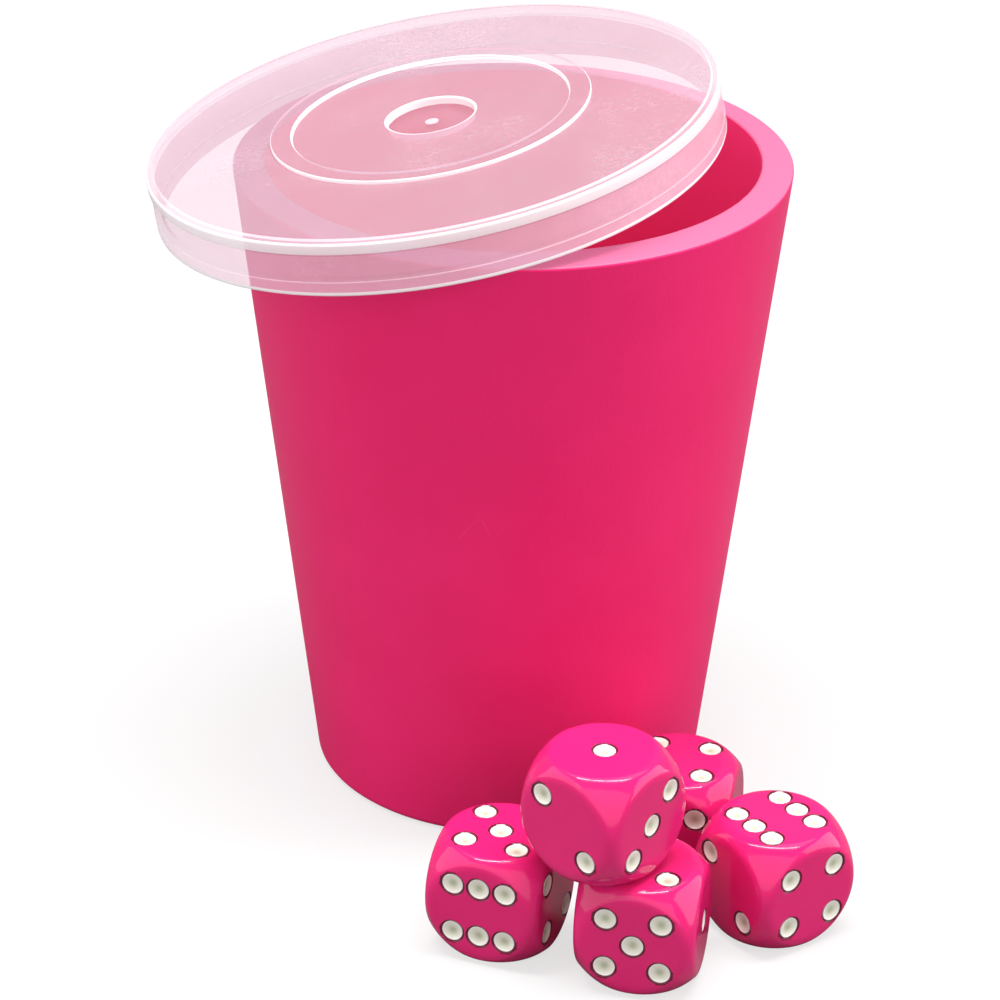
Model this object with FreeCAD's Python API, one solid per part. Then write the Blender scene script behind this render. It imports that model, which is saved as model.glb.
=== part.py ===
import FreeCAD, Part
import os
from math import asin, cos, degrees, radians, sin, sqrt, tan

from FreeCAD import Vector

# Dice cup set: a moulded cup, its press-on lid resting ajar on the rim, and five dice
# piled in front. Millimetres, +Z up, origin at the centre of the cup's base, and the
# dice on the -Y side.

# ---- cup ----
rim_height = 89.4          # outer edge of the rim
rim_outer_radius = 37.5
rim_inner_radius = 33.2
rim_rise = 0.7             # the rim's inner edge stands this much above its outer edge
base_radius = 27.1
floor_thickness = 4.0
floor_radius = 23.2        # cavity radius where wall and floor would meet
rim_edge_radius = 0.4
base_edge_radius = 1.2
floor_corner_radius = 4.0

# ---- lid, in its own frame: axis +Z, top face at height 0 ----
lid_height = 7.5
lid_plate = 1.65           # thickness of the flat top
shoulder_radius = 38.6     # thick band round the top
shoulder_height = 1.65
shoulder_relief = 0.3      # slope under the band down to the skirt
shoulder_step = 0.25       # the band's ledge lies this much below the top
shoulder_step_radius = 37.4
skirt_radius = 38.4
skirt_wall = 0.8
ring_inner_radius = 18.7   # stacking ring
ring_outer_radius = 21.6
ring_height = 0.5
dimple_radius = 5.9
dimple_depth = 1.0
gate_radius = 0.9          # moulding gate left in the dimple
gate_height = 0.25
bead_drop = 5.5            # snap bead below the top
bead_height = 0.25
line_depth = 0.12          # fine step on the skirt outside the bead
lid_edge_radius = 0.35

# ---- where the lid rests ----
lid_offset = 11.15         # lid's centre from the cup's axis
lid_azimuth = 188.3        # direction of that offset, and of the lean
lid_gap = 0.12             # running gap between lid and rim

# ---- dice ----
die_size = 16.0
die_sphere = 10.6          # sphere that rounds the edges and corners, so each face is a disc
die_crease_radius = 0.55   # where a face meets the sphere
pip_radius = 1.57
pip_spacing = 3.6          # from a face's centre
pip_wall = 0.16            # straight side of a pip's recess
pip_depth = 0.55
paint_drop = 0.05          # edge of the paint below the face
paint_skin = 0.16          # paint thickness at the pip's centre
stack_gap = 0.1            # top die above the dice that carry it

match = 1e-3               # tolerance when an edge is looked up by its size and place

# name: centre x, centre y, heading of the left face, faces up, left and right
dice = {
    "top": (12.4, -57.5, -130.1, 1, 2, 3),
    "left": (-0.6, -51.2, -111.0, 5, 6, 4),
    "front": (17.9, -58.1, -101.7, 3, 5, 1),
    "right": (35.4, -47.2, -144.4, 6, 2, 4),
    "back": (23.3, -32.6, -102.3, 4, 2, 1),
}


def revolve(points):
    """Solid of revolution about Z from a closed outline of (radius, height) points."""
    corners = [Vector(r, 0, z) for r, z in points]
    outline = Part.makePolygon(corners + corners[:1])
    return Part.Face(outline).revolve(Vector(0, 0, 0), Vector(0, 0, 1), 360)


def rings(shape, radius, height):
    """Circular edges about Z at the given radius and height."""
    found = []
    for edge in shape.Edges:
        if edge.Curve.TypeId != "Part::GeomCircle":
            continue
        circle = edge.Curve
        if abs(circle.Radius - radius) < match and abs(circle.Center.z - height) < match:
            found.append(edge)
    return found


def make_cup():
    rim_top = rim_height + rim_rise
    shape = revolve([
        (0, 0), (base_radius, 0), (rim_outer_radius, rim_height),
        (rim_inner_radius, rim_top), (floor_radius, floor_thickness), (0, floor_thickness),
    ])
    shape = shape.makeFillet(floor_corner_radius, rings(shape, floor_radius, floor_thickness))
    shape = shape.makeFillet(base_edge_radius, rings(shape, base_radius, 0))
    shape = shape.makeFillet(rim_edge_radius, rings(shape, rim_outer_radius, rim_height))
    return shape.makeFillet(rim_edge_radius, rings(shape, rim_inner_radius, rim_top))


def make_lid():
    bottom = -lid_height
    inside = skirt_radius - skirt_wall
    bead_z = -bead_drop
    shape = revolve([
        (0, gate_height - dimple_depth), (gate_radius, gate_height - dimple_depth),
        (gate_radius, -dimple_depth), (dimple_radius, -dimple_depth), (dimple_radius, 0),
        (ring_inner_radius, 0), (ring_inner_radius, ring_height),
        (ring_outer_radius, ring_height), (ring_outer_radius, 0),
        (shoulder_step_radius, 0), (shoulder_step_radius + shoulder_step, -shoulder_step),
        (shoulder_radius, -shoulder_step), (shoulder_radius, -shoulder_height),
        (skirt_radius, -shoulder_height - shoulder_relief),
        (skirt_radius, bead_z), (skirt_radius + line_depth, bead_z - line_depth),
        (skirt_radius + line_depth, bottom), (inside, bottom),
        (inside, bead_z - bead_height), (inside - bead_height, bead_z),
        (inside, bead_z + bead_height), (inside, -lid_plate), (0, -lid_plate),
    ])
    shape = shape.makeFillet(lid_edge_radius, rings(shape, shoulder_radius, -shoulder_step))
    return shape.makeFillet(lid_edge_radius, rings(shape, skirt_radius + line_depth, bottom))


def lid_placement():
    """The lid leans on the rim: its plate touches the far side, its skirt two points of the rim."""
    inside = skirt_radius - skirt_wall
    crossing = (lid_offset ** 2 + rim_outer_radius ** 2 - inside ** 2) / (2 * lid_offset)
    tilt = asin((lid_height - lid_plate) / (rim_outer_radius - crossing))
    top = rim_height + lid_gap + lid_plate / cos(tilt) + tan(tilt) * (rim_outer_radius - lid_offset)
    azimuth = radians(lid_azimuth)
    centre = Vector(lid_offset * cos(azimuth), lid_offset * sin(azimuth), top)
    lean_axis = Vector(-sin(azimuth), cos(azimuth), 0)
    return FreeCAD.Placement(centre, FreeCAD.Rotation(lean_axis, degrees(tilt)))


def pip_places():
    """Position and outward normal of each pip on a die: 1, 2 and 3 face +X, +Y and +Z."""
    s, h = pip_spacing, die_size / 2
    faces = {
        (1, 0, 0): [(h, 0, 0)],
        (-1, 0, 0): [(-h, y, z) for y in (-s, s) for z in (-s, 0, s)],
        (0, 1, 0): [(-s, h, s), (s, h, -s)],
        (0, -1, 0): [(x, -h, z) for x in (-s, s) for z in (-s, s)] + [(0, -h, 0)],
        (0, 0, 1): [(s, -s, h), (0, 0, h), (-s, s, h)],
        (0, 0, -1): [(x, y, -h) for x in (-s, s) for y in (-s, s)],
    }
    pips = []
    for normal, places in faces.items():
        pips += [(Vector(*place), Vector(*normal)) for place in places]
    return pips


def dish(radius, side, depth, ceiling):
    """Round pocket tool below height 0: straight side, then a dished floor, open up to the ceiling."""
    edge = Part.LineSegment(Vector(radius, 0, ceiling), Vector(radius, 0, -side)).toShape()
    sag = depth - side
    bowl = (radius ** 2 + sag ** 2) / (2 * sag)
    half = asin(radius / bowl) / 2
    middle = Vector(bowl * sin(half), 0, bowl * (1 - cos(half)) - depth)
    floor = Part.Arc(Vector(radius, 0, -side), middle, Vector(0, 0, -depth)).toShape()
    axis = Part.LineSegment(Vector(0, 0, -depth), Vector(0, 0, ceiling)).toShape()
    lid = Part.LineSegment(Vector(0, 0, ceiling), Vector(radius, 0, ceiling)).toShape()
    outline = Part.Face(Part.Wire([edge, floor, axis, lid]))
    return outline.revolve(Vector(0, 0, 0), Vector(0, 0, 1), 360)


def on_face(shape, place, normal):
    moved = shape.copy()
    moved.Placement = FreeCAD.Placement(place, FreeCAD.Rotation(Vector(0, 0, 1), normal))
    return moved


def make_die():
    """One die about its own centre: its body, and the paint in its pips."""
    half = die_size / 2
    block = Part.makeBox(die_size, die_size, die_size, Vector(-half, -half, -half))
    block = block.common(Part.makeSphere(die_sphere))
    face_radius = sqrt(die_sphere ** 2 - half ** 2)
    creases = [edge for edge in block.Edges if edge.Curve.TypeId == "Part::GeomCircle"
               and abs(edge.Curve.Radius - face_radius) < match]
    block = block.makeFillet(die_crease_radius, creases)
    pocket = dish(pip_radius, pip_wall, pip_depth, ceiling=pip_depth)
    filling = dish(pip_radius, pip_wall, pip_depth, ceiling=-paint_drop)
    hollow = dish(pip_radius, paint_drop, pip_depth - paint_skin, ceiling=pip_depth)
    paint = filling.cut(hollow)
    pips = pip_places()
    block = block.cut([on_face(pocket, place, normal) for place, normal in pips])
    return block.Solids[0], Part.makeCompound([on_face(paint, place, normal) for place, normal in pips])


def die_placement(x, y, heading, up, left, right, height):
    """Turn a die so that the named faces point up, left and right, and stand it at its place."""
    turn = radians(heading)
    views = {
        up: Vector(0, 0, 1),
        left: Vector(cos(turn), sin(turn), 0),
        right: Vector(-sin(turn), cos(turn), 0),
    }
    axes = {}
    for face, view in views.items():
        opposite = 7 - face
        axes[min(face, opposite)] = view if face < opposite else -view
    one, two, three = axes[1], axes[2], axes[3]
    return FreeCAD.Placement(FreeCAD.Matrix(
        one.x, two.x, three.x, x,
        one.y, two.y, three.y, y,
        one.z, two.z, three.z, height,
        0, 0, 0, 1))


def build():
    nodes = {"cup": make_cup()}
    lid = make_lid()
    lid.Placement = lid_placement()
    nodes["lid"] = lid
    body, paint = make_die()
    for name, (x, y, heading, up, left, right) in dice.items():
        height = die_size / 2
        if name == "top":
            height += die_size + stack_gap
        placement = die_placement(x, y, heading, up, left, right, height)
        for prefix, shape in (("die", body), ("pips", paint)):
            placed = shape.copy()
            placed.Placement = placement
            nodes[prefix + "_" + name] = placed
    return nodes


os.makedirs("parts", exist_ok=True)
for node, shape in build().items():
    shape.exportStep("parts/" + node + ".step")
    print(node, "valid" if shape.isValid() else "NOT VALID", "volume %.2f mm3" % shape.Volume)
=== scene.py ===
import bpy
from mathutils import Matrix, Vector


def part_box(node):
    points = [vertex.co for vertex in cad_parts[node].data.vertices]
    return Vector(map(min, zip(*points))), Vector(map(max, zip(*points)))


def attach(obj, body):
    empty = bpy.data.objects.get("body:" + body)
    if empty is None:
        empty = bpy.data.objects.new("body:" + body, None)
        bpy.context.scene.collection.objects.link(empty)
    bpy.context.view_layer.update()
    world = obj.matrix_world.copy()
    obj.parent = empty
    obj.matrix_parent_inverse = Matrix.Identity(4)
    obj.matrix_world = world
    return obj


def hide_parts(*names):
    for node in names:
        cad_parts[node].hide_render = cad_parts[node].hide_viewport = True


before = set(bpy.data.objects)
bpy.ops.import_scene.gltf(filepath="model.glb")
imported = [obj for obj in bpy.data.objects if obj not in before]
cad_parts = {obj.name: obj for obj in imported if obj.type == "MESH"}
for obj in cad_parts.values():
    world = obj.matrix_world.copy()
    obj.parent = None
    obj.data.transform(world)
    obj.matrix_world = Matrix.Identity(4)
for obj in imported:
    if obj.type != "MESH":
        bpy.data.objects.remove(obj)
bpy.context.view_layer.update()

from math import cos, hypot, radians, sin

import bmesh
import bpy
from mathutils import Matrix, Vector

mm = 0.001
print("frame loaded:", len(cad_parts), "nodes")


def deselectAll():
    if bpy.context.mode != "OBJECT":
        bpy.ops.object.mode_set(mode="OBJECT")
    bpy.ops.object.select_all(action="DESELECT")


def makeActive(piece):
    deselectAll()
    piece.select_set(True)
    bpy.context.view_layer.objects.active = piece


def startEdit(piece, selectMode):
    makeActive(piece)
    bpy.ops.object.mode_set(mode="EDIT")
    bpy.ops.mesh.select_mode(type=selectMode)
    bpy.ops.mesh.select_all(action="DESELECT")


def turnProfile(name, outline, sides):
    # a flat disc whose face is drawn along the outline, (radius, height) in mm, until the piece is closed
    deselectAll()
    radius, height = outline[0]
    bpy.ops.mesh.primitive_circle_add(vertices=sides, radius=radius * mm, fill_type="NGON",
                                      location=(0, 0, height * mm))
    piece = bpy.context.object
    piece.name = name
    bpy.ops.object.transform_apply(location=True, rotation=True, scale=True)
    bpy.ops.object.mode_set(mode="EDIT")
    bpy.ops.mesh.select_mode(type="FACE")
    bpy.ops.mesh.select_all(action="SELECT")
    for nextRadius, nextHeight in outline[1:]:
        bpy.ops.mesh.extrude_region_move(
            TRANSFORM_OT_translate={"value": (0, 0, (nextHeight - height) * mm)})
        grow = nextRadius / radius
        bpy.ops.transform.resize(value=(grow, grow, 1), center_override=(0, 0, nextHeight * mm))
        radius, height = nextRadius, nextHeight
    bpy.ops.mesh.select_all(action="SELECT")
    bpy.ops.mesh.normals_make_consistent(inside=False)
    bpy.ops.object.mode_set(mode="OBJECT")
    return piece


def roundRing(piece, radius, height, size, segments):
    # bevels the ring of edges that lies at this radius and height, in mm
    startEdit(piece, "EDGE")
    mesh = bmesh.from_edit_mesh(piece.data)
    near = 0.02 * mm
    for edge in mesh.edges:
        edge.select = all(
            abs(hypot(end.co.x, end.co.y) - radius * mm) < near and abs(end.co.z - height * mm) < near
            for end in edge.verts)
    bmesh.update_edit_mesh(piece.data)
    bpy.ops.mesh.bevel(offset=size * mm, segments=segments, profile=0.5, affect="EDGES")
    bpy.ops.object.mode_set(mode="OBJECT")


def finishShading(piece, angle):
    # smooth within the angle, with flat faces kept flat up to their edges
    makeActive(piece)
    bpy.ops.object.shade_smooth_by_angle(angle=radians(angle), keep_sharp_edges=False)
    modifier = piece.modifiers.new("evenNormals", "WEIGHTED_NORMAL")
    modifier.keep_sharp = True
    bpy.ops.object.modifier_apply(modifier=modifier.name)


def markFaces(piece, name, rule):
    # one value per face for the material, from the face's radius, height (mm) and upward lean
    values = piece.data.attributes.new(name, "FLOAT", "FACE")
    for face in piece.data.polygons:
        centre = face.center / mm
        values.data[face.index].value = rule(hypot(centre.x, centre.y), centre.z, face.normal.z)


def ownCopy(piece, name):
    copy = piece.copy()
    copy.data = piece.data.copy()
    copy.name = name
    bpy.context.scene.collection.objects.link(copy)
    return copy


def joinPieces(pieces, name):
    deselectAll()
    for piece in pieces:
        piece.select_set(True)
    bpy.context.view_layer.objects.active = pieces[0]
    bpy.ops.object.join()
    pieces[0].name = name
    return pieces[0]


def boxCentre(node):
    low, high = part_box(node)
    return (low + high) / 2


def place(piece, material, body, node):
    piece.data.materials.clear()
    piece.data.materials.append(material)
    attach(piece, body)
    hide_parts(node)


def addNode(tree, kind, settings=None, values=None):
    node = tree.nodes.new("ShaderNode" + kind)
    for name, value in (settings or {}).items():
        setattr(node, name, value)
    for name, value in (values or {}).items():
        node.inputs[name].default_value = value
    return node


def mixColour(tree, factor, first, second):
    # first and second are colours or sockets; factor is a socket
    node = addNode(tree, "Mix", {"data_type": "RGBA"})
    tree.links.new(factor, node.inputs[0])
    for socket, value in ((node.inputs[6], first), (node.inputs[7], second)):
        if isinstance(value, bpy.types.NodeSocket):
            tree.links.new(value, socket)
        else:
            socket.default_value = (*value, 1)
    return node.outputs[2]


def doMath(tree, operation, first, second=0.5, clamp=False):
    node = addNode(tree, "Math", {"operation": operation, "use_clamp": clamp})
    for socket, value in ((node.inputs[0], first), (node.inputs[1], second)):
        if isinstance(value, bpy.types.NodeSocket):
            tree.links.new(value, socket)
        else:
            socket.default_value = value
    return node.outputs[0]


def remap(tree, value, fromLow, fromHigh, toLow, toHigh):
    node = addNode(tree, "MapRange", None, {
        "From Min": fromLow, "From Max": fromHigh, "To Min": toLow, "To Max": toHigh})
    tree.links.new(value, node.inputs["Value"])
    return node.outputs[0]


def readAttribute(tree, name):
    return addNode(tree, "Attribute", {"attribute_name": name}).outputs["Fac"]


def startMaterial(name, values):
    material = bpy.data.materials.new(name)
    material.use_nodes = True
    tree = material.node_tree
    tree.nodes.clear()
    output = addNode(tree, "OutputMaterial")
    shader = addNode(tree, "BsdfPrincipled", None, values)
    tree.links.new(shader.outputs[0], output.inputs["Surface"])
    return material, tree, shader


def startGroup(name, inputs, outputs):
    group = bpy.data.node_groups.new(name, "ShaderNodeTree")
    group.interface.new_socket(name="Vector", in_out="INPUT", socket_type="NodeSocketVector")
    for label, value in inputs.items():
        socket = group.interface.new_socket(name=label, in_out="INPUT", socket_type="NodeSocketFloat")
        socket.default_value = value
    for label in outputs:
        group.interface.new_socket(name=label, in_out="OUTPUT", socket_type="NodeSocketFloat")
    return group, group.nodes.new("NodeGroupInput"), group.nodes.new("NodeGroupOutput")


def useGroup(tree, group, values):
    # the group on Object coordinates, with its own values for this material
    node = addNode(tree, "Group", {"node_tree": group})
    coordinates = addNode(tree, "TexCoord")
    tree.links.new(coordinates.outputs["Object"], node.inputs["Vector"])
    for name, value in values.items():
        node.inputs[name].default_value = value
    return node


def addBump(tree, shader, height, distance):
    bump = addNode(tree, "Bump", None, {"Strength": 1.0, "Distance": distance})
    tree.links.new(height, bump.inputs["Height"])
    tree.links.new(bump.outputs["Normal"], shader.inputs["Normal"])


def coverMask(group, noise, cover, steepness):
    # 1 where the noise is within the covered share, falling to 0 over an edge as steep as asked
    edge = doMath(group, "SUBTRACT", 1.0, cover)
    shown = doMath(group, "SUBTRACT", noise.outputs["Fac"], edge)
    return doMath(group, "MULTIPLY", shown, steepness, clamp=True)


def makeMouldSkin():
    # fine grain and slow ripples of a moulded surface, and a slow change of tint
    group, start, end = startGroup(
        "mouldSkin", {"Grain Scale": 3000, "Grain": 0.5, "Ripple Scale": 150, "Ripple": 0.5},
        ["Height", "Tint"])
    link = group.links.new
    grain = addNode(group, "TexNoise", None, {"Detail": 3, "Roughness": 0.6})
    ripple = addNode(group, "TexNoise", None, {"Detail": 1, "Roughness": 0.4})
    tint = addNode(group, "TexNoise", None, {"Scale": 45, "Detail": 3, "Roughness": 0.6})
    for noise in (grain, ripple, tint):
        link(start.outputs["Vector"], noise.inputs["Vector"])
    link(start.outputs["Grain Scale"], grain.inputs["Scale"])
    link(start.outputs["Ripple Scale"], ripple.inputs["Scale"])
    fine = doMath(group, "MULTIPLY", grain.outputs["Fac"], start.outputs["Grain"])
    slow = doMath(group, "MULTIPLY", ripple.outputs["Fac"], start.outputs["Ripple"])
    link(doMath(group, "ADD", fine, slow), end.inputs["Height"])
    link(remap(group, tint.outputs["Fac"], 0.3, 0.7, 0, 1), end.inputs["Tint"])
    return group


def makeScuffs():
    # short broken hairlines, gathered in patches
    group, start, end = startGroup(
        "scuffs", {"Line Scale": 350, "Width": 0.02, "Patch Scale": 60, "Cover": 0.45}, ["Mask"])
    link = group.links.new
    bend = addNode(group, "TexNoise", None, {"Scale": 90, "Detail": 2})
    link(start.outputs["Vector"], bend.inputs["Vector"])
    offset = addNode(group, "VectorMath", {"operation": "SCALE"}, {"Scale": 0.006})
    link(bend.outputs["Color"], offset.inputs[0])
    bent = addNode(group, "VectorMath", {"operation": "ADD"})
    link(start.outputs["Vector"], bent.inputs[0])
    link(offset.outputs[0], bent.inputs[1])
    cells = addNode(group, "TexVoronoi", {"feature": "DISTANCE_TO_EDGE"})
    link(bent.outputs[0], cells.inputs["Vector"])
    link(start.outputs["Line Scale"], cells.inputs["Scale"])
    width = addNode(group, "MapRange", None, {"From Min": 0, "To Min": 1, "To Max": 0})
    link(cells.outputs["Distance"], width.inputs["Value"])
    link(start.outputs["Width"], width.inputs["From Max"])
    patch = addNode(group, "TexNoise", None, {"Detail": 4, "Roughness": 0.7})
    link(start.outputs["Vector"], patch.inputs["Vector"])
    link(start.outputs["Patch Scale"], patch.inputs["Scale"])
    shown = coverMask(group, patch, start.outputs["Cover"], 12.0)
    link(doMath(group, "MULTIPLY", width.outputs[0], shown), end.inputs["Mask"])
    return group


def makeFrost():
    # soft specks gathered in clouds, as on worn frosted plastic
    group, start, end = startGroup(
        "frost", {"Speck Scale": 1300, "Cloud Scale": 55, "Cover": 0.5}, ["Mask"])
    link = group.links.new
    specks = addNode(group, "TexNoise", None, {"Detail": 4, "Roughness": 0.75})
    link(start.outputs["Vector"], specks.inputs["Vector"])
    link(start.outputs["Speck Scale"], specks.inputs["Scale"])
    clouds = addNode(group, "TexNoise", None, {"Detail": 3, "Roughness": 0.6})
    link(start.outputs["Vector"], clouds.inputs["Vector"])
    link(start.outputs["Cloud Scale"], clouds.inputs["Scale"])
    shown = coverMask(group, clouds, start.outputs["Cover"], 5.0)
    speckled = remap(group, specks.outputs["Fac"], 0.42, 0.68, 0.15, 1)
    link(doMath(group, "MULTIPLY", speckled, shown), end.inputs["Mask"])
    return group


mouldSkin = makeMouldSkin()
scuffs = makeScuffs()
frost = makeFrost()
print("surface effects ready")


cup = {
    "sides": 192,
    "baseRadius": 27.1,
    "wall": 4.3,            # across the rim
    "rimRise": 0.7,         # inner edge of the rim above its outer edge
    "floor": 4.0,
    "floorRadius": 23.2,
    "taper": 0.1,           # radius lost per mm of depth, just short of the inner wall's own taper
    "rimRound": 0.4,
    "baseRound": 1.1,
    "floorRound": 3.4,
    "gateRadius": 3.0,      # moulding gate recess under the base
    "gateDepth": 0.4,
    "pink": (0.84, 0.018, 0.155),
    "pinkDeep": (0.79, 0.014, 0.136),
    # rimHighlightPink is painted highlight: the rim's top is the same plastic, drawn lighter and paler
    # for the light that falls on it from above
    "rimHighlightPink": (0.51, 0.113, 0.222),
    # cavityLitPink is painted light: the inside is drawn lighter and paler than the outside, for light
    # and sheen that the shading misses in the hollow
    "cavityLitPink": (0.86, 0.036, 0.180),
    "scuffPink": (0.85, 0.16, 0.30),
    "scuffShow": 0.25,
    "roughness": (0.42, 0.5),
    "bump": 0.00006,        # in metres, as in the other materials
}


def makeCupMaterial():
    material, tree, shader = startMaterial("cupPlastic", {"Specular IOR Level": 0.22})
    skin = useGroup(tree, mouldSkin, {
        "Grain Scale": 2600, "Grain": 0.5, "Ripple Scale": 120, "Ripple": 1.0})
    worn = useGroup(tree, scuffs, {
        "Line Scale": 140, "Width": 0.008, "Patch Scale": 40, "Cover": 0.36})
    body = mixColour(tree, skin.outputs["Tint"], cup["pinkDeep"], cup["pink"])
    # painted light inside the cavity
    body = mixColour(tree, readAttribute(tree, "cavity"), body, cup["cavityLitPink"])
    # painted highlight on the rim's top faces
    faced = mixColour(tree, readAttribute(tree, "rimFace"), body, cup["rimHighlightPink"])
    scratched = doMath(tree, "MULTIPLY", worn.outputs["Mask"], cup["scuffShow"])
    link = tree.links.new
    link(mixColour(tree, scratched, faced, cup["scuffPink"]), shader.inputs["Base Color"])
    link(remap(tree, skin.outputs["Tint"], 0, 1, *cup["roughness"]), shader.inputs["Roughness"])
    addBump(tree, shader, skin.outputs["Height"], cup["bump"])
    return material


def makeCup():
    low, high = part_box("cup")
    top = high.z / mm
    outer = (high.x - low.x) / 2 / mm
    edge = top - cup["rimRise"]
    inner = outer - cup["wall"]
    gate, depth = cup["gateRadius"], cup["gateDepth"]
    # the gate's stub, the recess round it, the base, the wall and rim, and the floor inside
    piece = turnProfile("cup_shell", [
        (gate * 0.28, depth * 0.4), (gate * 0.3, depth), (gate * 0.95, depth), (gate, 0),
        (cup["baseRadius"], 0), (outer, edge), (inner, top),
        (cup["floorRadius"], cup["floor"]), (cup["floorRadius"] * 0.4, cup["floor"]),
    ], cup["sides"])
    roundRing(piece, cup["baseRadius"], 0, cup["baseRound"], 5)
    roundRing(piece, outer, edge, cup["rimRound"], 4)
    roundRing(piece, inner, top, cup["rimRound"], 4)
    roundRing(piece, cup["floorRadius"], cup["floor"], cup["floorRound"], 8)
    middle = (inner + outer) / 2

    def onRim(radius, height, up):
        level = height > edge - 0.5 and up > 0.6
        return float(level and abs(radius - middle) < cup["wall"] / 2)

    def inCavity(radius, height, up):
        wall = inner - (edge - height) * cup["taper"]
        return float(height > cup["floor"] - 0.1 and radius < wall)

    markFaces(piece, "rimFace", onRim)
    markFaces(piece, "cavity", inCavity)
    finishShading(piece, 35)
    place(piece, makeCupMaterial(), "cup", "cup")
    print("cup made:", len(piece.data.polygons), "faces")


makeCup()


lid = {
    "sides": 192,
    "plate": 1.65,
    "shoulder": 38.6,       # thick band round the top
    "shoulderDrop": 1.65,
    "ledge": 37.4,          # inner edge of the band's ledge
    "ledgeDrop": 0.25,
    "skirt": 38.4,
    "skirtWall": 0.8,
    "height": 7.5,
    "ringInner": 18.7,      # stacking ring
    "ringOuter": 21.6,
    "ringHeight": 0.5,
    "dimple": 5.9,
    "dimpleDepth": 1.0,
    "lip": 0.25,            # lip round the dimple, drawn bright as a painted highlight
    "gate": 0.9,
    "gateRise": 0.26,
    "beadDrop": 5.5,
    "beadSize": 0.25,
    "lineDepth": 0.12,      # the skirt stands out this much below the line at the bead
    "hem": 0.6,             # milky strip along the lower edge, partly painted highlight
    "chamfer": 0.12,
    "edgeRound": 0.3,
    "leanTowards": 188.3,   # degrees about Z
    "lean": 10.447,
    "haze": (0.47, 0.335, 0.395),
    # sideHazeLit and sideDenseLit are painted light: lighter colours for faces on edge, to make up for
    # the light they miss from above
    "sideHazeLit": (1.0, 0.64, 0.80),
    "milkAndHighlight": (0.66, 0.61, 0.64),
    "sideDenseLit": (0.98, 0.91, 0.93),
    "clearAlpha": 0.37,
    "cloudAlpha": 0.025,    # how far the clear plastic's alpha wanders
    "denseAlpha": 0.9,
    "dimpleAlpha": 0.35,    # share of the alpha that is left in the thin dimple
    "frostShow": 0.15,
    "bandMilk": 0.9,        # the Milk and Highlight values say how milky and bright each part looks, from 0 for clear; the milky white is partly the plastic seen through its thickness on edge, partly painted highlight
    "stepMilk": 0.6,
    "ledgeMilk": 0.2,
    "hemMilk": 1.0,
    "ringMilk": 1.0,
    "dimpleMilk": 1.0,
    "lipHighlight": 0.75,
    "gateMilk": 0.6,
    "lineHighlight": 0.3,
    "roughness": (0.3, 0.55),
    "bump": 0.00002,
}


def lidDensity(radius, height, up):
    # how milky each face looks: where the wall stands on edge, more plastic is seen and light gathers in
    # it; that bright white, like the lip and the line at the bead, is painted highlight
    slack = 0.05
    upright = abs(up) < 0.75
    if height > -lid["shoulderDrop"] - slack and radius > lid["ledge"] - slack:
        if radius > lid["shoulder"] - lid["edgeRound"] - slack:
            return lid["bandMilk"]
        return lid["stepMilk"] if radius < lid["ledge"] + lid["ledgeDrop"] else lid["ledgeMilk"]
    if height < lid["hem"] + 2 * slack - lid["height"] and radius > lid["skirt"]:
        return lid["hemMilk"]
    for edge in (lid["ringOuter"], lid["ringInner"]):
        if upright and abs(radius - edge) < 0.2 and height > 0:
            return lid["ringMilk"]
    if upright and abs(radius - lid["dimple"]) < 0.25 and height > -lid["dimpleDepth"]:
        return lid["dimpleMilk"]
    if height > -0.01 and lid["dimple"] < radius < lid["dimple"] + 0.5:
        return lid["lipHighlight"]
    if radius < lid["gate"] * 1.1 and height > -lid["dimpleDepth"] - 0.01:
        return lid["gateMilk"]
    if radius > lid["skirt"] and abs(height + lid["beadDrop"] + lid["lineDepth"] / 2) < 2 * slack:
        return lid["lineHighlight"]
    return 0.0


def lidSide(radius, height, up):
    # faces on edge take a lighter tint than the flat ones: painted light, making up for the light they
    # get less of than faces that look up
    return 1 - max(up, 0) if height > -lid["plate"] * 0.9 else 1 - abs(up)


def dimpleThin(radius, height, up):
    # the dimple's floor lets more through than the plate round it
    level = abs(height + lid["dimpleDepth"]) < 0.01
    return float(level and lid["gate"] < radius < lid["dimple"])


def makeLidMaterial():
    material, tree, shader = startMaterial("lidPlastic", {"Specular IOR Level": 0.35})
    skin = useGroup(tree, mouldSkin, {
        "Grain Scale": 1500, "Grain": 0.3, "Ripple Scale": 90, "Ripple": 1.0})
    worn = useGroup(tree, frost, {"Speck Scale": 1300, "Cloud Scale": 55, "Cover": 0.54})
    facing = addNode(tree, "NewGeometry").outputs["Backfacing"]
    front = doMath(tree, "SUBTRACT", 1.0, facing)
    # milky faces, partly painted highlight, taken from the front side only
    milkAndHighlight = doMath(tree, "MULTIPLY", readAttribute(tree, "milkAndHighlight"), front)
    marks = doMath(tree, "MULTIPLY", worn.outputs["Mask"], lid["frostShow"])
    milky = doMath(tree, "MAXIMUM", milkAndHighlight, marks)
    clear, cloudy = lid["clearAlpha"], lid["cloudAlpha"]
    clouds = remap(tree, skin.outputs["Tint"], 0, 1, clear - cloudy, clear + cloudy)
    link = tree.links.new
    side = readAttribute(tree, "side")
    # faces on edge get the lighter, painted-light colours
    thin = mixColour(tree, side, lid["haze"], lid["sideHazeLit"])
    thick = mixColour(tree, side, lid["milkAndHighlight"], lid["sideDenseLit"])
    link(mixColour(tree, milky, thin, thick), shader.inputs["Base Color"])
    spread = addNode(tree, "Mix")
    link(milky, spread.inputs[0])
    cleared = remap(tree, readAttribute(tree, "thin"), 0, 1, 1.0, lid["dimpleAlpha"])
    link(doMath(tree, "MULTIPLY", clouds, cleared), spread.inputs[2])
    spread.inputs[3].default_value = lid["denseAlpha"]
    link(spread.outputs[0], shader.inputs["Alpha"])
    link(remap(tree, worn.outputs["Mask"], 0, 1, *lid["roughness"]), shader.inputs["Roughness"])
    addBump(tree, shader, skin.outputs["Height"], lid["bump"])
    return material


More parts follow.
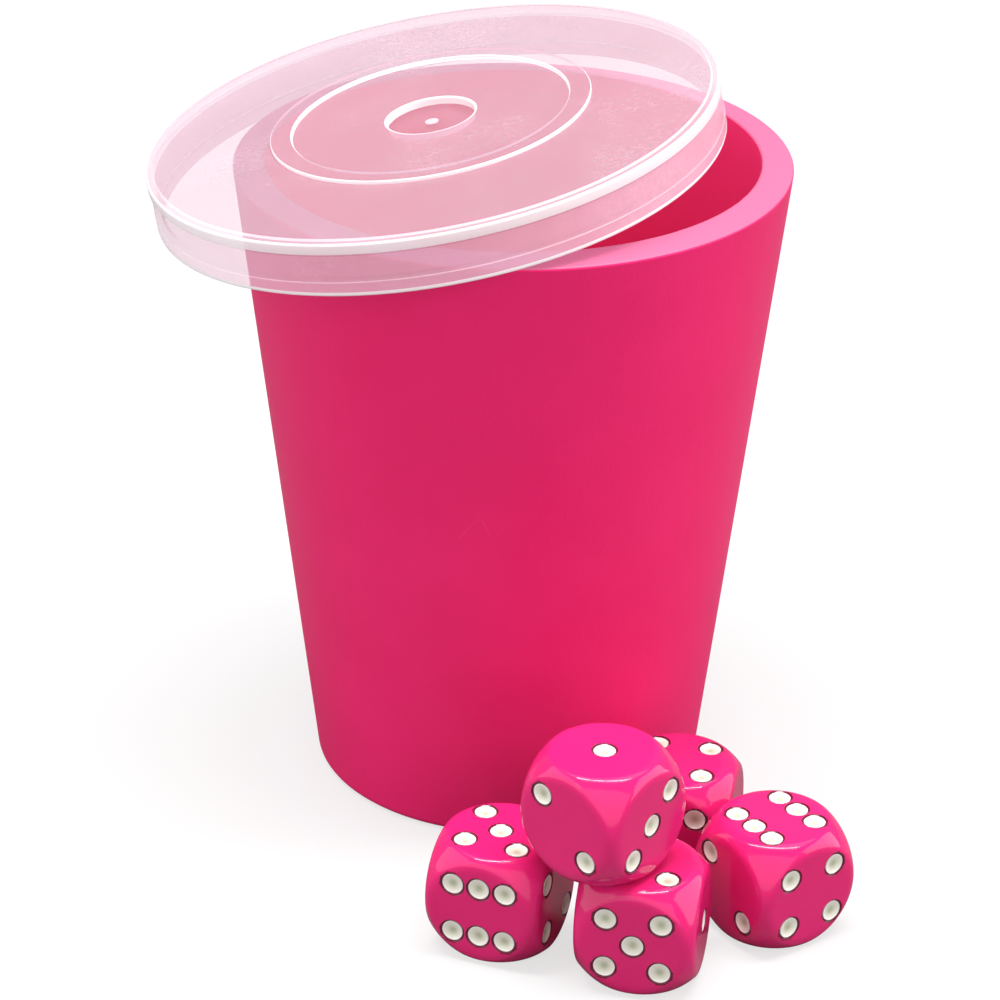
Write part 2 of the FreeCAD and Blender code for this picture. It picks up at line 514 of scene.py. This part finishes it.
def makeLid():
    ring, rise, dimple = lid["ringHeight"], lid["chamfer"], lid["dimpleDepth"]
    inside = lid["skirt"] - lid["skirtWall"]
    bead, line, bottom = -lid["beadDrop"], lid["lineDepth"], -lid["height"]
    proud = lid["beadSize"]
    piece = turnProfile("lid_frosted", [
        (lid["gate"] * 0.5, -dimple + lid["gateRise"]),
        (lid["gate"], -dimple + rise), (lid["gate"], -dimple),
        (lid["dimple"], -dimple), (lid["dimple"], -rise), (lid["dimple"] + rise, 0),
        (lid["dimple"] + rise + lid["lip"], 0),
        (lid["ringInner"] - rise, 0), (lid["ringInner"], rise),
        (lid["ringInner"], ring - rise), (lid["ringInner"] + rise, ring),
        (lid["ringOuter"] - rise, ring), (lid["ringOuter"], ring - rise),
        (lid["ringOuter"], 0), (lid["ledge"], 0), (lid["ledge"] + lid["ledgeDrop"], -lid["ledgeDrop"]),
        (lid["shoulder"], -lid["ledgeDrop"]), (lid["shoulder"], -lid["shoulderDrop"]),
        (lid["skirt"], -lid["shoulderDrop"] - lid["edgeRound"]), (lid["skirt"], bead),
        (lid["skirt"] + line, bead - line), (lid["skirt"] + line, bottom + lid["hem"]),
        (lid["skirt"] + line, bottom), (inside, bottom),
        (inside, bead - proud), (inside - proud, bead), (inside, bead + proud),
        (inside, -lid["plate"]), (inside * 0.3, -lid["plate"]),
    ], lid["sides"])
    roundRing(piece, lid["shoulder"], -lid["ledgeDrop"], lid["edgeRound"], 4)
    roundRing(piece, lid["skirt"] + line, bottom, lid["edgeRound"], 4)
    markFaces(piece, "milkAndHighlight", lidDensity)
    markFaces(piece, "side", lidSide)
    markFaces(piece, "thin", dimpleThin)
    azimuth = radians(lid["leanTowards"])
    hinge = Vector((-sin(azimuth), cos(azimuth), 0))
    piece.data.transform(Matrix.Rotation(radians(lid["lean"]), 4, hinge))
    points = piece.data.vertices
    corners = [[pick(point.co[axis] for point in points) for axis in range(3)] for pick in (min, max)]
    middle = (Vector(corners[0]) + Vector(corners[1])) / 2
    piece.data.transform(Matrix.Translation(boxCentre("lid") - middle))
    finishShading(piece, 35)
    place(piece, makeLidMaterial(), "lid", "lid")
    print("lid made:", len(piece.data.polygons), "faces")


makeLid()


die = {
    "size": 16.0,
    "sphere": 10.6,         # rounds the edges and corners, so that each face is a disc
    "crease": 0.62,         # softens the line where a face meets the sphere
    "cells": 56,            # mesh cells along an edge
    "pipSpacing": 3.6,
    "recess": 1.68,
    "recessDepth": 0.62,
    "recessWall": 0.12,     # straight part above the bowl
    "recessFlare": 0.05,
    "recessSides": 40,
    "paint": 1.42,
    "paintDepth": 0.40,     # middle of the paint below the face
    "paintDrop": 0.08,      # edge of the paint below the face
    "paintSkin": 0.18,
    "paintUnder": 0.10,     # added to the skin below the dish
    "paintSide": 0.12,      # widest part of the paint below the face
    "paintDished": 0.96,    # share of the paint's width that is dished
    "paintSides": 36,
    "pink": (0.69, 0.016, 0.148),
    "pinkDeep": (0.65, 0.013, 0.138),
    # outline is painted shade: a dark colour on the recess walls round the paint, where shade falls
    "outline": (0.16, 0.010, 0.035),
    "roughness": (0.07, 0.3),
    "bump": 0.00003,
    "paintEdge": (0.86, 0.80, 0.76),
    "paintRound": (0.73, 0.71, 0.58),
    "paintMiddle": (0.45, 0.47, 0.33),
    "paintStain": (0.62, 0.60, 0.52),
    "stainShow": 0.15,
    "paintBump": 0.00002,
}
faces = {                   # name: heading of the left face, then the faces up, left and right
    "top": (-130.1, 1, 2, 3),
    "left": (-111.0, 5, 6, 4),
    "front": (-101.7, 3, 5, 1),
    "right": (-144.4, 6, 2, 4),
    "back": (-102.3, 4, 2, 1),
}


def pipPlaces():
    # where each pip sits on a die about its own centre, and the way its face looks
    s, h = die["pipSpacing"], die["size"] / 2
    layout = {
        (1, 0, 0): [(h, 0, 0)],
        (-1, 0, 0): [(-h, y, z) for y in (-s, s) for z in (-s, 0, s)],
        (0, 1, 0): [(-s, h, s), (s, h, -s)],
        (0, -1, 0): [(x, -h, z) for x in (-s, s) for z in (-s, s)] + [(0, -h, 0)],
        (0, 0, 1): [(s, -s, h), (0, 0, h), (-s, s, h)],
        (0, 0, -1): [(x, y, -h) for x in (-s, s) for y in (-s, s)],
    }
    pips = []
    for normal, places in layout.items():
        turn = Vector((0, 0, 1)).rotation_difference(Vector(normal)).to_matrix().to_4x4()
        pips += [Matrix.Translation(Vector(spot) * mm) @ turn for spot in places]
    return pips


def dishOutline(radius, depth, steps):
    # stations of a shallow bowl, from near its middle out to its edge at height 0
    sag = (radius ** 2 + depth ** 2) / (2 * depth)
    stations = []
    for step in range(1, steps + 1):
        r = radius * step / steps
        stations.append((r, sag - depth - (sag ** 2 - r ** 2) ** 0.5))
    return stations


def onePerPip(tool, name):
    copies = []
    for matrix in pipPlaces():
        copy = ownCopy(tool, name)
        copy.data.transform(matrix)
        copies.append(copy)
    bpy.data.objects.remove(tool)
    return joinPieces(copies, name)


def roundOff(body):
    # draws every point in to the sphere, with a soft blend where it crosses a face
    half, sphere, blend = die["size"] / 2 * mm, die["sphere"] * mm, die["crease"] * mm
    for point in body.data.vertices:
        way = point.co.normalized()
        toFace = half / max(abs(c) for c in way)
        near = max(blend - abs(toFace - sphere), 0) / blend
        point.co = way * (min(toFace, sphere) - near * near * blend / 4)


def makeDieBody():
    deselectAll()
    bpy.ops.mesh.primitive_cube_add(size=die["size"] * mm, location=(0, 0, 0))
    body = bpy.context.object
    startEdit(body, "FACE")
    bpy.ops.mesh.select_all(action="SELECT")
    bpy.ops.mesh.subdivide(number_cuts=die["cells"] - 1)
    bpy.ops.object.mode_set(mode="OBJECT")
    roundOff(body)

    wall, flare, above = die["recessWall"], die["recessFlare"], 0.4
    bowl = [(r, z - wall) for r, z in dishOutline(die["recess"], die["recessDepth"] - wall, 5)]
    cutter = turnProfile("pipCutter", bowl + [
        (die["recess"], -flare), (die["recess"] + flare, 0), (die["recess"] + 3 * flare, above),
    ], die["recessSides"])
    cutters = onePerPip(cutter, "pipCutters")
    cut = body.modifiers.new("pips", "BOOLEAN")
    cut.operation = "DIFFERENCE"
    cut.solver = "EXACT"
    cut.object = cutters
    makeActive(body)
    bpy.ops.object.modifier_apply(modifier=cut.name)
    bpy.data.objects.remove(cutters)

    # marks the walls of the recesses, which get a painted shade that shows as a dark outline round the
    # paint
    values = body.data.attributes.new("recess", "FLOAT", "FACE")
    inward = [matrix.inverted() for matrix in pipPlaces()]
    for face in body.data.polygons:
        spots = [matrix @ face.center / mm for matrix in inward]
        dished = any(
            hypot(spot.x, spot.y) < die["recess"] + 0.1 and -1 < spot.z < -0.005 for spot in spots)
        values.data[face.index].value = float(dished)
    return body


def makePaint():
    # the paint in one pip: a thin dish with a rounded edge, then one in each pip
    radius, drop = die["paint"], die["paintDrop"]
    dish = die["paintDepth"] - drop
    top = [(r, z - drop) for r, z in dishOutline(radius * die["paintDished"], dish, 7)]
    under = [(r, z - die["paintSkin"] - die["paintUnder"]) for r, z in dishOutline(radius, dish, 4)]
    side = [(radius, -die["paintSide"])]
    tool = turnProfile("pipPaint", under + side + top[::-1], die["paintSides"])
    # towardsMiddle is 0 at the paint's edge and 1 at its middle
    towardsMiddle = tool.data.attributes.new("towardsMiddle", "FLOAT", "POINT")
    for point in tool.data.vertices:
        towardsMiddle.data[point.index].value = 1 - hypot(point.co.x, point.co.y) / (radius * mm)
    return onePerPip(tool, "pipPaints")


def makeDieMaterial():
    material, tree, shader = startMaterial("diePlastic", {"Specular IOR Level": 0.36})
    skin = useGroup(tree, mouldSkin, {
        "Grain Scale": 900, "Grain": 0.25, "Ripple Scale": 260, "Ripple": 1.0})
    worn = useGroup(tree, scuffs, {
        "Line Scale": 420, "Width": 0.014, "Patch Scale": 110, "Cover": 0.42})
    body = mixColour(tree, skin.outputs["Tint"], die["pinkDeep"], die["pink"])
    link = tree.links.new
    # painted shade on the recess walls
    recessShaded = mixColour(tree, readAttribute(tree, "recess"), body, die["outline"])
    link(recessShaded, shader.inputs["Base Color"])
    link(remap(tree, worn.outputs["Mask"], 0, 1, *die["roughness"]), shader.inputs["Roughness"])
    addBump(tree, shader, skin.outputs["Height"], die["bump"])
    return material


def makePaintMaterial():
    material, tree, shader = startMaterial("pipPaint", {"Roughness": 0.2, "Specular IOR Level": 0.5})
    skin = useGroup(tree, mouldSkin, {
        "Grain Scale": 2500, "Grain": 0.6, "Ripple Scale": 700, "Ripple": 0.7})
    # the paint is lighter at its edge, darker and greener towards the middle of the dish
    ramp = addNode(tree, "ValToRGB")
    stops = ramp.color_ramp.elements
    stops[0].position, stops[0].color = 0.10, (*die["paintEdge"], 1)
    stops[1].position, stops[1].color = 0.85, (*die["paintMiddle"], 1)
    stops.new(0.45).color = (*die["paintRound"], 1)
    link = tree.links.new
    link(readAttribute(tree, "towardsMiddle"), ramp.inputs["Fac"])
    stained = doMath(tree, "MULTIPLY", skin.outputs["Tint"], die["stainShow"])
    paint = mixColour(tree, stained, ramp.outputs["Color"], die["paintStain"])
    link(paint, shader.inputs["Base Color"])
    addBump(tree, shader, skin.outputs["Height"], die["paintBump"])
    return material


def dieMatrix(heading, up, left, right):
    # turns a die so that the named faces look up, left and right
    turn = radians(heading)
    views = {up: Vector((0, 0, 1)), left: Vector((cos(turn), sin(turn), 0)),
             right: Vector((-sin(turn), cos(turn), 0))}
    axes = {}
    for face, view in views.items():
        axes[min(face, 7 - face)] = view if face < 4 else -view
    return Matrix((axes[1], axes[2], axes[3])).transposed().to_4x4()


def makeDice():
    body, paint = makeDieBody(), makePaint()
    dieMaterial, paintMaterial = makeDieMaterial(), makePaintMaterial()
    for name, (heading, up, left, right) in faces.items():
        spot = Matrix.Translation(boxCentre("die_" + name)) @ dieMatrix(heading, up, left, right)
        for source, title, material, slot in (
                (body, "die_", dieMaterial, "die_plastic"), (paint, "pips_", paintMaterial, "pip_paint")):
            piece = ownCopy(source, title + name + "_finished")
            piece.data.transform(spot)
            finishShading(piece, 32)
            place(piece, material, "die_" + name, title + name)
    bpy.data.objects.remove(body)
    bpy.data.objects.remove(paint)
    print("dice made:", len(faces))


makeDice()


studio = {
    "floorSize": 6.0,
    "floorShade": 0.17,     # as the set sees the floor
    "floorPale": 0.20,      # as the camera sees it, on top of its glow
    "floorGlow": 0.68,      # lifts the floor to white where nothing shades it
    "floorReach": 0.16,     # beyond this far from the cup, in metres, the glow alone makes it white
    "skyForCamera": 1.0,
    "skyForLight": 0.26,
    "middle": (0, -0.02, 0.04),
}
softboxes = {               # name: place, size, watts; each looks at the middle of the set
    "overhead": ((0.0, 0.05, 0.80), (0.9, 0.9), 4.0),
    "strip": ((0.0, -0.06, 0.79), (0.75, 0.13), 8.0),
    "leftSide": ((-0.80, -0.10, 0.30), (1.0, 0.8), 3.4),
    "rightSide": ((0.80, 0.0, 0.30), (1.0, 0.8), 6.2),
    "front": ((-0.15, -1.5, 0.50), (3.4, 2.0), 23.5),
}
view = {
    "place": (0, -0.4492, 0.2661),
    "turn": 0.17,
    "lookDown": 26.90,
    "roll": 0.58,
    "lens": 129.5,
    "sensor": 36,
}


def makeFloor():
    deselectAll()
    bpy.ops.mesh.primitive_plane_add(size=studio["floorSize"], location=(0, 0, 0))
    floor = bpy.context.object
    floor.name = "studio_floor"
    shade = studio["floorShade"]
    material, tree, shader = startMaterial("paleFloor", {
        "Roughness": 0.7, "Specular IOR Level": 0.0, "Emission Color": (1, 1, 1, 1)})
    seen = addNode(tree, "LightPath").outputs["Is Camera Ray"]
    away = addNode(tree, "VectorMath", {"operation": "LENGTH"})
    tree.links.new(addNode(tree, "TexCoord").outputs["Object"], away.inputs[0])
    far = remap(tree, away.outputs["Value"], studio["floorReach"], studio["floorReach"] * 2, 0, 1)
    pale = remap(tree, far, 0, 1, studio["floorPale"], 0)
    glow = remap(tree, far, 0, 1, studio["floorGlow"], 1.02)
    white = doMath(tree, "MULTIPLY", glow, seen)
    pale = doMath(tree, "MULTIPLY", pale, seen)
    unseen = doMath(tree, "SUBTRACT", 1.0, seen)
    plain = doMath(tree, "MULTIPLY", unseen, shade)
    tree.links.new(doMath(tree, "ADD", pale, plain), shader.inputs["Base Color"])
    tree.links.new(white, shader.inputs["Emission Strength"])
    floor.data.materials.append(material)


def makeWorld():
    world = bpy.data.worlds.new("studio")
    bpy.context.scene.world = world
    world.use_nodes = True
    tree = world.node_tree
    background = tree.nodes["Background"]
    background.inputs["Color"].default_value = (1, 1, 1, 1)
    seen = addNode(tree, "LightPath").outputs["Is Camera Ray"]
    strength = remap(tree, seen, 0, 1, studio["skyForLight"], studio["skyForCamera"])
    tree.links.new(strength, background.inputs["Strength"])


def makeLights():
    target = Vector(studio["middle"])
    for name, (spot, size, power) in softboxes.items():
        light = bpy.data.lights.new(name, "AREA")
        light.shape = "RECTANGLE"
        light.size, light.size_y = size
        light.energy = power
        lamp = bpy.data.objects.new(name, light)
        bpy.context.scene.collection.objects.link(lamp)
        lamp.location = spot
        lamp.rotation_euler = (target - Vector(spot)).to_track_quat("-Z", "Y").to_euler()


def makeCamera():
    data = bpy.data.cameras.new("camera")
    data.lens = view["lens"]
    data.sensor_width = view["sensor"]
    camera = bpy.data.objects.new("camera", data)
    bpy.context.scene.collection.objects.link(camera)
    camera.matrix_world = (
        Matrix.Translation(view["place"]) @ Matrix.Rotation(radians(view["turn"]), 4, "Z")
        @ Matrix.Rotation(radians(90 - view["lookDown"]), 4, "X")
        @ Matrix.Rotation(radians(view["roll"]), 4, "Z"))
    bpy.context.scene.camera = camera


makeFloor()
makeWorld()
makeLights()
makeCamera()
bpy.context.scene.view_settings.view_transform = "Standard"
print("studio ready")
